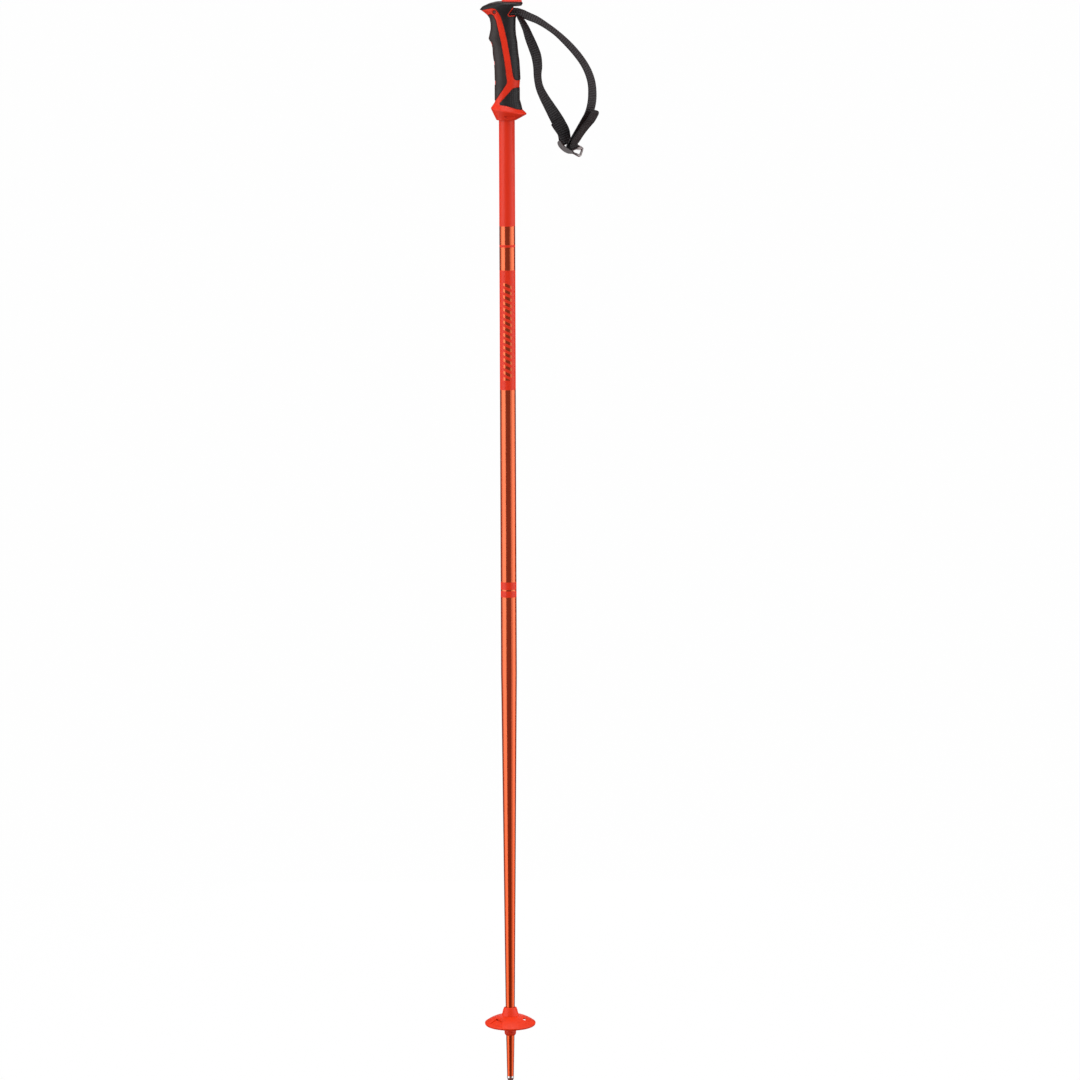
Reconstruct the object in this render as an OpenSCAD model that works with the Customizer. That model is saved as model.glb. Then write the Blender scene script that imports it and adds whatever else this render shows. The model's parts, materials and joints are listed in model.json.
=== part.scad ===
// Alpine ski pole: tapered alloy tube, moulded two-colour grip, webbing wrist strap with a
// tilting ladder buckle, press-on basket and a steel crown tip. Millimetres, +Z up the shaft,
// origin at the point, fingers on -X, palm and strap on +X.

/* [Shaft] */
// Outer radius of the straight upper tube
shaft_r = 9; // [8.8:0.05:9]
// Height at which the long taper starts
taper_top = 480; // [440:5:520]
// Height of the tube's upper end, inside the grip
shaft_top = 1198; // [1190:1:1200]
// Wall thickness of the tube
shaft_wall = 1.2; // [1:0.1:1.3]

/* [Tip] */
// Radius of the steel crown, which a rubber guard slides onto
crown_r = 3; // [2.8:0.1:3.2]
// Length of the straight crown
crown_len = 9.6; // [8:0.2:10]
// Radius of the hard core of the crown
core_r = 1.9; // [1.6:0.1:2]

/* [Basket] */
// Radius of the disc
basket_r = 29; // [27:0.5:31]
// Height of the disc's rim plane above the point
basket_z = 76.5; // [74:0.5:78]
// Tilt of the disc towards the front side, in degrees
basket_tilt = 5.5; // [0:0.5:8]
// Wall thickness of the disc
basket_wall = 2; // [1.6:0.1:2.4]
// Radial running gap between the basket and the shaft
basket_gap = 0.06; // [0.04:0.01:0.1]

/* [Grip] */
// Thickness of the soft pads over the hard core
pad_t = 2; // [1.6:0.1:2.2]
// How far the hard core lies below the face of the pads
core_step = 0.4; // [0.2:0.1:0.6]
// Radius of the pin that the strap is looped on
pin_r = 1.8; // [1.6:0.1:1.8]
// Radius of the sunk hole at each end of that pin
pin_recess_r = 2.3; // [2.1:0.1:2.5]

/* [Strap] */
// Width of the webbing
web_w = 15.5; // [15:0.1:15.5]
// Thickness of the webbing
web_t = 1.7; // [1.4:0.1:1.7]

/* [Buckle] */
// Distance between the cheeks
buckle_inner = 17.2; // [17:0.1:18]
// Thickness of a cheek
cheek_t = 2.2; // [1.8:0.1:2.4]
// Radius of the bar that the strap's sewn end turns on
sewn_bar_r = 1.3; // [1.1:0.1:1.3]
// Radius of the bar that the strap's free end turns on
adjuster_bar_r = 1.4; // [1.2:0.1:1.4]

/* [Hidden] */
$fn = 64;
eps = 0.01;

// Outer radius of the tube by height
tube_bottom = 14.3;
TAPER = [[tube_bottom, 3.8], [57, 4.7], [103, 5.3], [taper_top, shaft_r]];
shank_top = 40;

// Outline of the grip at each height: [z, front x, back x, half width, egg].
// Egg narrows the front and widens the back.
GRIP_ROWS = [
    [1113, -12.3, 11.5, 12, 0],
    [1124.5, -14, 17.9, 13.6, 0],
    [1130, -13.8, 16.6, 13, 0],
    [1136, -13.7, 14.9, 12.4, 0],
    [1150, -13.7, 14.9, 12.4, 0],
    [1160, -13.6, 15.7, 13.2, 0],
    [1170, -13.8, 15.2, 13.4, 0],
    [1180, -14.6, 14.6, 13.3, 0],
    [1188, -15.7, 13.5, 13, 0],
    [1195, -16, 12.8, 12.8, 0],
    [1200.5, -18, 12.4, 12.5, 0],
    [1205, -20.3, 11.6, 12.2, 0],
    [1210, -19.2, 10.8, 12, 0],
    [1216, -18, 10.4, 11.9, 0],
    [1222, -18, 10.4, 11.9, 0],
    [1228, -19.1, 10.6, 12.1, 0],
    [1231.3, -21.4, 11.8, 12.7, 0.08],
    [1234.7, -25.6, 13.6, 13.7, 0.16],
    [1238, -30.2, 15.4, 14.7, 0.24],
    [1241.5, -27, 17, 15.4, 0.2],
    [1245, -19.2, 18.6, 15.5, 0.12],
    [1246.6, -12.5, 17.6, 13.8, 0.06],
    [1247.2, -6, 14, 10, 0]];
core_top = 1243.6;

// Side outlines of the pads, as [x, z]
FINGER_OUTLINE = [[-40, 1231.4], [-20.8, 1231.6], [-19.4, 1233], [-17.3, 1233.3], [-15.6, 1232.7],
    [-14.4, 1231.2], [-11.8, 1225.9], [-6.5, 1202.3], [-3, 1182.5], [-0.2, 1161], [0.2, 1157],
    [-0.3, 1154.6], [-1.5, 1152.6], [-13.1, 1135], [-40, 1134.6]];
PALM_OUTLINE = [[40, 1158], [11.5, 1158.4], [9.4, 1159.4], [8.2, 1161], [7.2, 1164.5], [4.2, 1184.3],
    [0.7, 1204.1], [-2.8, 1219.5], [-6.7, 1231.7], [-10.2, 1237.3], [-12.4, 1239.6], [-15.2, 1240.4],
    [-19, 1240], [-27.1, 1237.7], [-40, 1235.5], [-40, 1260], [40, 1260]];
HEEL_OUTLINE = [[40, 1149.4], [9.6, 1149.9], [7.8, 1149.6], [6.3, 1148.5], [-7.6, 1133], [-8.2, 1131.6],
    [-7.5, 1129.8], [-5.6, 1128.4], [1.8, 1127.2], [17.9, 1124.6], [40, 1122]];
// Windows in the front of the finger pad, as [low z, high z]
FINGER_WINDOWS = [[1197.3, 1201.9], [1175, 1179.7], [1152.8, 1157.6]];
window_w = 11;

// The open notch that the strap leaves through, as [x, z], and the pocket behind it
SLOT = [[8.3, 1241.4], [2.2, 1232.9], [2.5, 1232], [3.7, 1231.5], [9.4, 1231.8], [40, 1231.8], [40, 1241.4]];
liner = 1.1;
pin_pos = [-13.6, 1235.9];
pin_len = 19;
pocket_w = 16.8;
POCKET_Z = [1232, 1240];

// Flange at the foot of the grip
flange_bottom = 1112.8;

// Route of the webbing's middle: [x, y, z, twist, lean]. Twist turns the width away from the
// Y axis, and lean is the direction in the XZ plane that its far edge turns to.
ROOT_OUTER = [[18.6, 0, 1233.6, 17, 68], [11.5, 0, 1236.8, 12, 75], [3.5, 0, 1238, 5, 85],
    [-5, 0, 1238.7, 0, 90]];
ROOT_INNER = [[-5, 0, 1233.5, 0, 90], [3.5, 0, 1234.6, 5, 80], [9.4, 0, 1234.9, 10, 62],
    [13.1, 0, 1232.7, 14, 50], [14.6, 0, 1228.8, 16, 44]];
OUTER = [[22.6, 0, 1231.3, 19, 66], [33, 0, 1227, 21, 62], [44, 0, 1220.2, 20, 56],
    [56, 0, 1211.2, 19, 49], [67.5, 0, 1200.5, 23, 44], [77.5, 0, 1189.6, 25, 40],
    [86, 0, 1178.2, 26, 33], [92, 0, 1167, 29, 22], [95.6, 0, 1155.5, 32, 11],
    [96.7, 0, 1144, 35, 1], [96, 0, 1132, 37, -7], [92.8, 0, 1120, 37, -18],
    [86.4, 0.2, 1108.2, 36, -26], [79.4, 0.4, 1096.4, 34, -26], [74.4, 0.4, 1088, 34, -14]];
INNER = [[16.9, 0, 1225.8, 19, 38], [21.4, 0, 1217.2, 26, 28], [25.4, 0, 1206.5, 36, 24],
    [29.8, 0, 1195.6, 42, 22], [33.6, 0, 1184.6, 44, 12], [35.1, 0, 1173, 39, 2],
    [35, 0, 1161.5, 31, 4], [37, 0, 1150, 30, 18], [41.8, 0, 1139.4, 34, 28],
    [48.2, 0, 1128.6, 41, 31], [54.6, 0.8, 1117.8, 48, 30], [60.2, 2, 1107.4, 55, 28],
    [64.2, 3.6, 1097.6, 50, 22]];
TAIL = [[78.2, -4.4, 1089.6, 32, -18], [83.1, -4.8, 1097.4, 32, -28], [88.7, -4.8, 1105, 34, -28],
    [94, -4.8, 1112.4, 35, -26], [97.4, -4.6, 1119.2, 35, -20]];
route_steps = 3;
tail_end_r = 5;

// The buckle's own axes: along its bars, across them and along the pull
buckle_pos = [71.9, 0, 1080.8];
bar_twist = 34;
bar_lean = 14;
bar_dir = width_dir([0, 0, 0, bar_twist, bar_lean]);
pull_dir = unit([0.05, 0, 1] - ([0.05, 0, 1] * bar_dir) * bar_dir);
cross_dir = cross(pull_dir, bar_dir);
// Places of its bars, as [across, up]
sewn_bar = [7, 6.2];
adjuster_bar = [-2, 0.2];
lever_root = [-8.7, -1.9];
// Side outline of a cheek, as [across, up]
CHEEK = [[7.4, 9.9], [9.9, 8.9], [10.5, 6.2], [8.5, 2.4], [3.6, -1.6], [-1.9, -3.8], [-6, -4.1],
    [-9.2, -3.6], [-10.4, -2.3], [-9.2, -0.9], [-5.6, 0.8], [-2.2, 2.3], [1.2, 3.8], [4.1, 6.2],
    [5.4, 8.6]];
lever_tilt = 63;
lever_len = 3.6;
lever_t = 1.9;
lever_rim = 1.6;
turn_r = adjuster_bar_r + 0.2 + web_t / 2;
fold_r = sewn_bar_r + 0.3 + web_t / 2;
FOLD_LEN = 27;
fold_open = 8;

function unit(v) = v / norm(v);
function xyz(p) = [p[0], p[1], p[2]];
function width_dir(p) = [sin(p[3]) * cos(p[4]), cos(p[3]), sin(p[3]) * sin(p[4])];
function at_buckle(a, b, c) = buckle_pos + a * bar_dir + b * cross_dir + c * pull_dir;
function buckle_point(b, c) = concat(at_buckle(0, b, c), [bar_twist, bar_lean]);

// Radius of the tube at a height
function tube_r(z) = lookup(z, TAPER);

// A smooth curve through a route's points
function spline(p, q, r, s, t) =
    0.5 * ((2 * q) + (r - p) * t + (2 * p - 5 * q + 4 * r - s) * t * t
    + (3 * q - p - 3 * r + s) * t * t * t);
function smooth(route, steps) = concat(
    [for (i = [0 : len(route) - 2], k = [0 : steps - 1])
        spline(route[max(i - 1, 0)], route[i], route[i + 1],
            route[min(i + 2, len(route) - 1)], k / steps)],
    [route[len(route) - 1]]);

// The direction of a route and of the webbing's face at point i
function along(route, i) =
    unit(xyz(route[min(i + 1, len(route) - 1)]) - xyz(route[max(i - 1, 0)]));
function face_dir(route, i) = unit(cross(along(route, i), width_dir(route[i])));
// A route moved off its own face, for a second layer
function beside(route, d) =
    [for (i = [0 : len(route) - 1]) concat(xyz(route[i]) + d * face_dir(route, i),
        [route[i][3], route[i][4]])];
// A closed outline rounded through its points
function closed(points, steps) = [for (i = [0 : len(points) - 1], k = [0 : steps - 1])
    let (n = len(points))
    spline(points[(i + n - 1) % n], points[i], points[(i + 1) % n], points[(i + 2) % n], k / steps)];
function reversed(list) = [for (i = [len(list) - 1 : -1 : 0]) list[i]];

// A flat strip along a route, w wide and t thick
module strip(route, w, t) {
    count = len(route);
    corners = [for (i = [0 : count - 1])
        let (c = xyz(route[i]), a = width_dir(route[i]) * w / 2, b = face_dir(route, i) * t / 2)
        each [c + a + b, c - a + b, c - a - b, c + a - b]];
    sides = [for (i = [0 : count - 2], k = [0 : 3])
        let (p = 4 * i + k, q = 4 * i + (k + 1) % 4)
        each [[q, p, p + 4], [q, p + 4, q + 4]]];
    last = 4 * (count - 1);
    ends = [[0, 1, 2], [0, 2, 3], [last + 2, last + 1, last], [last + 3, last + 2, last]];
    polyhedron(corners, concat(sides, ends));
}

// One outline of the grip, drawn in by inset
function power(v, e) = sign(v) * pow(abs(v), e);
function grip_outline(row, inset) =
    let (a = (row[2] - row[1]) / 2 - inset, mid = (row[1] + row[2]) / 2, b = row[3] - inset)
    [for (t = [0 : 10 : 350]) [mid + a * power(cos(t), 0.85),
        b * power(sin(t), 0.85) * (1 + row[4] * cos(t))]];

// The grip's whole shape between two heights, drawn in by inset
module grip_slice(low, high, inset) {
    count = 36;
    sides = [for (k = [0 : count - 1]) [k, (k + 1) % count, count + (k + 1) % count, count + k]];
    hull()
        polyhedron(
            concat([for (p = grip_outline(low, inset)) [p[0], p[1], low[0]]],
                [for (p = grip_outline(high, inset)) [p[0], p[1], high[0]]]),
            concat([[for (k = [0 : count - 1]) k], [for (k = [0 : count - 1]) 2 * count - 1 - k]],
                [for (f = sides) reversed(f)]));
}

module grip_shape(inset, top) {
    rows = [for (row = GRIP_ROWS) if (row[0] <= top) row];
    for (i = [0 : len(rows) - 2]) grip_slice(rows[i], rows[i + 1], inset);
}

// A side outline in X and Z, cut right across the grip
module across(width) {
    rotate([90, 0, 0])
        translate([0, 0, -width / 2])
            linear_extrude(width) children();
}

module flange_ring(x, z, lean, length, width, height) {
    translate([x, 0, z])
        rotate([0, lean, 0])
            scale([length / width, 1, 1]) cylinder(h = height, r = width, $fn = 48);
}

// Double cone with its ridge sloping down towards the palm, and a shallow window on each side
module flange() {
    difference() {
        hull() {
            flange_ring(2.05, 1129, 15.5, 15.9, 12.6, 0.3);
            flange_ring(2.15, 1122.4, 9.4, 20.4, 17.5, 1.1);
            flange_ring(-0.5, flange_bottom, 0, 11.3, 11.3, 0.2);
        }
        for (side = [-1, 1])
            translate([-2.5, side * 14.6 - 3, 1114.7]) cube([10.9, 6, 3.6]);
    }
}

module pin_hole() {
    translate([pin_pos[0], 0, pin_pos[1]])
        rotate([90, 0, 0]) {
            cylinder(h = pin_len, r = pin_r, center = true);
            for (side = [0, 1])
                mirror([0, 0, side])
                    translate([0, 0, pin_len / 2 - eps]) cylinder(h = 10, r = pin_recess_r);
        }
}

module pocket() {
    translate([pin_pos[0], -pocket_w / 2, POCKET_Z[0]])
        cube([22, pocket_w, POCKET_Z[1] - POCKET_Z[0]]);
    translate([pin_pos[0], 0, (POCKET_Z[0] + POCKET_Z[1]) / 2])
        rotate([90, 0, 0])
            cylinder(h = pocket_w, r = (POCKET_Z[1] - POCKET_Z[0]) / 2, center = true);
}

module finger_windows(depth) {
    for (w = FINGER_WINDOWS)
        translate([-25, -window_w / 2, w[0]]) cube([depth, window_w, w[1] - w[0]]);
}

module cap_seat(grow) {
    translate([6, 0, 1244.6])
        scale([1.22, 1, 1]) cylinder(h = 6, r = 9.4 + grow, $fn = 48);
}

module cap_legs(grow) {
    for (x = [0, 12])
        translate([x, 0, 1242.2]) cylinder(h = 3, r = 1.6 + grow);
}

module shaft() {
    color([0.85, 0.28, 0.14])
        rotate_extrude(convexity = 4)
            polygon(concat(
                [for (p = TAPER) [p[1], p[0]]], [[shaft_r, shaft_top], [shaft_r - shaft_wall, shaft_top]],
                reversed([for (p = TAPER) [p[1] - shaft_wall, p[0]]])));
}

module steel_tip() {
    color("silver")
        rotate_extrude(convexity = 4)
            polygon([[0, 9], [core_r, 9], [core_r, 0.9], [crown_r - 0.5, 0], [crown_r, 0],
                [crown_r, crown_len], [3.9, crown_len + 2.6], [3.9, tube_bottom],
                [tube_r(tube_bottom) - shaft_wall, tube_bottom],
                [tube_r(shank_top) - shaft_wall, shank_top], [0, shank_top]]);
}

module tip_core() {
    color("dimgray")
        rotate_extrude()
            polygon([[0, 1.6], [core_r, 0.9], [core_r, 9], [0, 9]]);
}

// Height of the disc's upper face above its rim plane
dome_h = 9.5;
function dome(r) = dome_h * (1 - pow(r / basket_r, 2.3));
disc_step = (basket_r - 7) / 9;
// Ends of the groove in the disc's upper face, and how deep and wide it is
GROOVE = [[-15.6, -8], [-9, -17]];
groove_depth = 1.1;
groove_w = 1.4;

module basket_disc() {
    upper = [for (i = [0 : 9]) let (r = 7 + disc_step * i) [r, dome(r)]];
    lower = [for (p = reversed(upper)) [p[0] - 0.6, p[1] - basket_wall]];
    rotate_extrude(convexity = 4)
        polygon(concat(upper, [[basket_r, -0.4], [basket_r - 0.4, -1.3]], lower));
}

// Vent hole and groove of the disc
module disc_cuts() {
    run = GROOVE[1] - GROOVE[0];
    translate([16.2, -7.8, 5.5])
        rotate([42, 0, 0]) cylinder(h = 16, r = 1.6, center = true);
    translate([GROOVE[0][0], GROOVE[0][1], dome(norm(GROOVE[0])) - groove_depth])
        rotate([0, 0, atan2(run[1], run[0])])
            translate([0, -groove_w / 2, 0]) cube([norm(run), groove_w, 10]);
}

module basket() {
    color([0.95, 0.22, 0.12])
        difference() {
            union() {
                translate([0, 0, basket_z])
                    rotate([basket_tilt, 0, 0])
                        difference() {
                            basket_disc();
                            disc_cuts();
                        }
                translate([0, 0, basket_z])
                    rotate_extrude()
                        polygon([[0, -14.8], [5.2, -14.8], [6.5, -13], [7.2, -0.6], [9.8, 8],
                            [9.1, 11], [8.3, 14.4], [7.1, 17.8], [0, 17.8]]);
            }
            rotate_extrude()
                polygon([[0, 50], for (z = [50, 57, 103, 110]) [tube_r(z) + basket_gap, z], [0, 110]]);
        }
}

module grip_core() {
    color([0.9, 0.18, 0.1])
        difference() {
            union() {
                grip_shape(pad_t, core_top);
                difference() {
                    grip_shape(core_step, core_top);
                    across(80) polygon(PALM_OUTLINE);
                    across(80) polygon(HEEL_OUTLINE);
                    difference() {
                        across(80) polygon(FINGER_OUTLINE);
                        finger_windows(15);
                    }
                }
                intersection() {
                    grip_shape(core_step, core_top);
                    across(80) offset(delta = liner) polygon(SLOT);
                }
                flange();
            }
            across(80) polygon(SLOT);
            pocket();
            pin_hole();
            cap_legs(0);
            translate([0, 0, 1100]) cylinder(h = shaft_top - 1100, r = shaft_r);
        }
}

module palm_pad() {
    color([0.12, 0.12, 0.12])
        difference() {
            intersection() {
                grip_shape(0, 1300);
                across(80) polygon(PALM_OUTLINE);
            }
            grip_shape(pad_t, core_top);
            across(80) offset(delta = liner) polygon(SLOT);
            cap_seat(0);
            cap_legs(0);
            pin_hole();
        }
}

module finger_pad() {
    color([0.2, 0.19, 0.19])
        difference() {
            intersection() {
                grip_shape(0, 1300);
                across(80) polygon(FINGER_OUTLINE);
            }
            grip_shape(pad_t, core_top);
            finger_windows(20);
        }
}

module heel_pad() {
    color([0.12, 0.12, 0.12])
        difference() {
            intersection() {
                grip_shape(0, 1300);
                across(80) polygon(HEEL_OUTLINE);
            }
            grip_shape(pad_t, core_top);
            flange();
        }
}

module top_cap() {
    color([0.92, 0.2, 0.12]) {
        hull() {
            translate([6, 0, 1244.6])
                scale([1.22, 1, 1]) cylinder(h = 3.6, r = 9.4, $fn = 48);
            translate([6, 0, 1244.6])
                scale([1.22, 1, 1]) cylinder(h = 4.8, r = 7.6, $fn = 48);
            translate([6, 0, 1244.6])
                scale([1.22, 1, 1]) cylinder(h = 5.4, r = 4.6, $fn = 48);
        }
        cap_legs(0);
    }
}

module strap_anchor_pin() {
    color("gray")
        translate([pin_pos[0], 0, pin_pos[1]])
            rotate([90, 0, 0]) cylinder(h = pin_len, r = pin_r, center = true);
}

module webbing(route) {
    color([0.1, 0.1, 0.1]) strip(route, web_w, web_t);
}

// Out of the notch, round the anchor pin and back
module strap_root() {
    loop_r = pin_r + 0.2 + web_t / 2;
    loop = [for (a = [90 : 30 : 270])
        [pin_pos[0] + loop_r * cos(a), 0, pin_pos[1] + loop_r * sin(a), 0, 90]];
    webbing(concat(smooth(ROOT_OUTER, 2), loop, smooth(ROOT_INNER, 2)));
}

// Layer that goes down to the adjuster bar
outer_end = buckle_point(adjuster_bar[0] + turn_r, adjuster_bar[1] + 3.6);
module strap_outer_run() {
    webbing(smooth(concat(OUTER, [outer_end]), route_steps));
}

// Layer that goes down to the sewn bar
inner_end = buckle_point(sewn_bar[0] + fold_r, sewn_bar[1]);
inner_route = smooth(concat(INNER, [inner_end]), route_steps);
module strap_inner_run() {
    webbing(inner_route);
}

// The sewn end: round the sewn bar and up the near face of the inner run
function path_length(route, i) =
    i == 0 ? 0 : path_length(route, i - 1) + norm(xyz(route[i]) - xyz(route[i - 1]));
inner_length = path_length(inner_route, len(inner_route) - 1);
second_layer = beside(inner_route, web_t + 0.05);
fold_layer = [for (i = [0 : len(inner_route) - 1])
    let (rest = inner_length - path_length(inner_route, i))
    if (rest < FOLD_LEN && rest > fold_open) second_layer[i]];
module strap_fold() {
    webbing(concat(
        [for (a = [0 : -30 : -180])
            buckle_point(sewn_bar[0] + fold_r * cos(a), sewn_bar[1] + fold_r * sin(a))],
        reversed(fold_layer)));
}

// Puts something flat on a route's face at point i: width along X, route along Y
module on_face(route, i) {
    a = width_dir(route[i]);
    f = face_dir(route, i);
    s = cross(f, a);
    c = route[i];
    multmatrix([[a[0], s[0], f[0], c[0]], [a[1], s[1], f[1], c[1]], [a[2], s[2], f[2], c[2]],
        [0, 0, 0, 1]]) children();
}

// Two rows of thread through both layers of the sewn end
module fold_stitching() {
    color([0.16, 0.16, 0.16])
        for (row = [1, 3])
            on_face(fold_layer, row)
                for (x = [-6 : 2 : 6])
                    translate([x - 0.75, -0.35, -1.5 * web_t - 0.2])
                        cube([1.5, 0.7, 2 * web_t + 0.4]);
}

// Round the adjuster bar and out again
module strap_turn() {
    webbing(concat(
        [buckle_point(adjuster_bar[0] + turn_r, adjuster_bar[1] + 1.4)],
        [for (a = [0 : -30 : -180])
            buckle_point(adjuster_bar[0] + turn_r * cos(a), adjuster_bar[1] + turn_r * sin(a))],
        [buckle_point(adjuster_bar[0] - turn_r - 0.1, adjuster_bar[1] + 1.6)]));
}

// Free end, with its corners rounded off
tail_start = buckle_point(adjuster_bar[0] - turn_r - 0.4, adjuster_bar[1] + 4);
tail_route = smooth(concat([tail_start], TAIL), route_steps);
module strap_tail() {
    webbing(tail_route);
    color([0.1, 0.1, 0.1])
        on_face(tail_route, len(tail_route) - 1)
            translate([0, 0, -web_t / 2])
                linear_extrude(web_t)
                    hull()
                        for (x = [-1, 1])
                            translate([x * (web_w / 2 - tail_end_r), 0]) circle(tail_end_r, $fn = 32);
}

module in_buckle() {
    multmatrix([
        [bar_dir[0], cross_dir[0], pull_dir[0], buckle_pos[0]],
        [bar_dir[1], cross_dir[1], pull_dir[1], buckle_pos[1]],
        [bar_dir[2], cross_dir[2], pull_dir[2], buckle_pos[2]],
        [0, 0, 0, 1]]) children();
}

module bar(place, r) {
    translate([0, place[0], place[1]])
        rotate([0, 90, 0]) cylinder(h = buckle_inner + 1, r = r, center = true);
}

// Rounded triangle of the thumb lever, drawn in by inset
module lever_outline(inset) {
    corner = 2.6 - inset;
    hull() {
        for (x = [-1, 1])
            translate([x * (buckle_inner / 2 + cheek_t - 2.6), 0]) circle(corner, $fn = 32);
        translate([0, lever_len]) circle(corner + 1.4, $fn = 32);
    }
}

// Ladder buckle: two cheeks, two round bars and a looped thumb lever
module buckle_frame() {
    color([0.28, 0.28, 0.3])
        in_buckle() {
            for (side = [-1, 1])
                translate([side * (buckle_inner + cheek_t) / 2 - cheek_t / 2, 0, 0])
                    rotate([90, 0, 90])
                        linear_extrude(cheek_t) polygon(closed(CHEEK, 3));
            bar(sewn_bar, sewn_bar_r);
            bar(adjuster_bar, adjuster_bar_r);
            translate([0, lever_root[0], lever_root[1]])
                rotate([lever_tilt - 180, 0, 0])
                    translate([0, 0, -lever_t / 2])
                        linear_extrude(lever_t)
                            difference() {
                                lever_outline(0);
                                lever_outline(lever_rim);
                            }
        }
}

shaft();
steel_tip();
tip_core();
basket();
grip_core();
palm_pad();
finger_pad();
heel_pad();
top_cap();
strap_anchor_pin();
strap_root();
strap_outer_run();
strap_inner_run();
strap_fold();
fold_stitching();
strap_turn();
strap_tail();
buckle_frame();
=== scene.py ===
import json
import math

import bmesh
import bpy
import numpy as np
from mathutils import Matrix, Quaternion, Vector


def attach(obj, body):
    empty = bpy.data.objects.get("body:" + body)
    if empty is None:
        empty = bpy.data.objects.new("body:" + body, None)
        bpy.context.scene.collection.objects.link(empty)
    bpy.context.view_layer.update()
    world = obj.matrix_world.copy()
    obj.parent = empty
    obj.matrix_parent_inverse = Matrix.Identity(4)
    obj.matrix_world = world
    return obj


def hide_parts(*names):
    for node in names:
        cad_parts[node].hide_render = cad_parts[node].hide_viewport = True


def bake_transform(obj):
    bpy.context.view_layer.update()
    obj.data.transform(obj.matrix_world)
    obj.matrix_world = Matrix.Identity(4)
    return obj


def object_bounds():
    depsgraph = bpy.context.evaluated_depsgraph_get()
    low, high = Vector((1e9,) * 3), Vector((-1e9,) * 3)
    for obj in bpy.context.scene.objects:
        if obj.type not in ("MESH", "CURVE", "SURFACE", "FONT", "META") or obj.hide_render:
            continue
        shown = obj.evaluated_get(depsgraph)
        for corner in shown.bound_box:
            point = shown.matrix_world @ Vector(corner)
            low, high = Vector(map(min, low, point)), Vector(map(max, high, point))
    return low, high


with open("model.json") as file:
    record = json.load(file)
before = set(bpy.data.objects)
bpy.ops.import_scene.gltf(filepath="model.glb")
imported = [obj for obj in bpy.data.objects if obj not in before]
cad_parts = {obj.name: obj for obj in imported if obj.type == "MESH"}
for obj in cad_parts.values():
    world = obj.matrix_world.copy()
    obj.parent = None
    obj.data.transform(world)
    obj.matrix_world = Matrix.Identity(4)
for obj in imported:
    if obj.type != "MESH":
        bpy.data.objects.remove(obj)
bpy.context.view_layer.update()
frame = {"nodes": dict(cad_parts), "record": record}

MM = 0.001
LOW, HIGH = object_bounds()
MIDDLE = Vector((0, 0, (LOW.z + HIGH.z) / 2))


# ---------------------------------------------------------------- camera
VIEW_ELEVATION = math.radians(8)
VIEW_DISTANCE = 12.0
VIEW_ROLL = math.radians(-0.22)
LENS = 352
SHIFT = (0.0292, 0.0068)


def add_camera():
    data = bpy.data.cameras.new("camera")
    data.lens = LENS
    data.shift_x, data.shift_y = SHIFT
    data.clip_end = 200
    camera = bpy.data.objects.new("camera", data)
    bpy.context.scene.collection.objects.link(camera)
    back = Vector((0, -math.cos(VIEW_ELEVATION), math.sin(VIEW_ELEVATION)))
    camera.location = MIDDLE + back * VIEW_DISTANCE
    camera.rotation_mode = "QUATERNION"
    camera.rotation_quaternion = (-back).to_track_quat("-Z", "Y") @ Quaternion((0, 0, 1), VIEW_ROLL)
    bpy.context.scene.camera = camera


# ---------------------------------------------------------------- studio
WHITE = (1, 1, 1)
FADE_HEIGHTS = (-0.5, 0.6)  # of the direction looked in, from the room's floor to its ceiling
FADE_STRENGTHS = (0.2, 0.66)
ROOM_MIRROR = (0.17, 0.048, 0.042)
PANEL_LOW, PANEL_HIGH = -0.6, 2.3
# Softboxes: name, azimuth, distance, width and what a mirror sees of them
PANELS = [("left_key", -63, 1.6, 1.49, 1.5), ("left_rim", -99, 1.6, 0.62, 0.8),
          ("right_fill", 51, 1.6, 0.74, 0.7), ("right_key", 87, 1.6, 1.36, 1.35),
          ("back_panel", 180, 2.2, 0.7, 0.8)]
CEILING_SIDE, CEILING_RADIANCE = 1.4, 2.2
CEILING_PLACE = (0, -0.3, 2.6)


def add_panel(name, azimuth, distance, width, radiance):
    """A tall softbox facing the pole. Azimuth 0 is where the camera stands."""
    tall = PANEL_HIGH - PANEL_LOW
    data = bpy.data.lights.new(name, "AREA")
    data.shape = "RECTANGLE"
    data.size = width
    data.size_y = tall
    data.energy = radiance * math.pi * width * tall
    panel = bpy.data.objects.new(name, data)
    bpy.context.scene.collection.objects.link(panel)
    angle = math.radians(azimuth)
    away = Vector((math.sin(angle), -math.cos(angle), 0))
    panel.location = away * distance + Vector((0, 0, (PANEL_LOW + PANEL_HIGH) / 2))
    panel.rotation_mode = "QUATERNION"
    panel.rotation_quaternion = away.to_track_quat("Z", "Y")
    panel.visible_camera = False


def add_ceiling():
    data = bpy.data.lights.new("ceiling_panel", "AREA")
    data.shape = "SQUARE"
    data.size = CEILING_SIDE
    data.energy = CEILING_RADIANCE * math.pi * CEILING_SIDE ** 2
    panel = bpy.data.objects.new("ceiling_panel", data)
    bpy.context.scene.collection.objects.link(panel)
    panel.location = CEILING_PLACE
    panel.visible_camera = False


def add_studio():
    for panel in PANELS:
        add_panel(*panel)
    add_ceiling()


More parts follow.
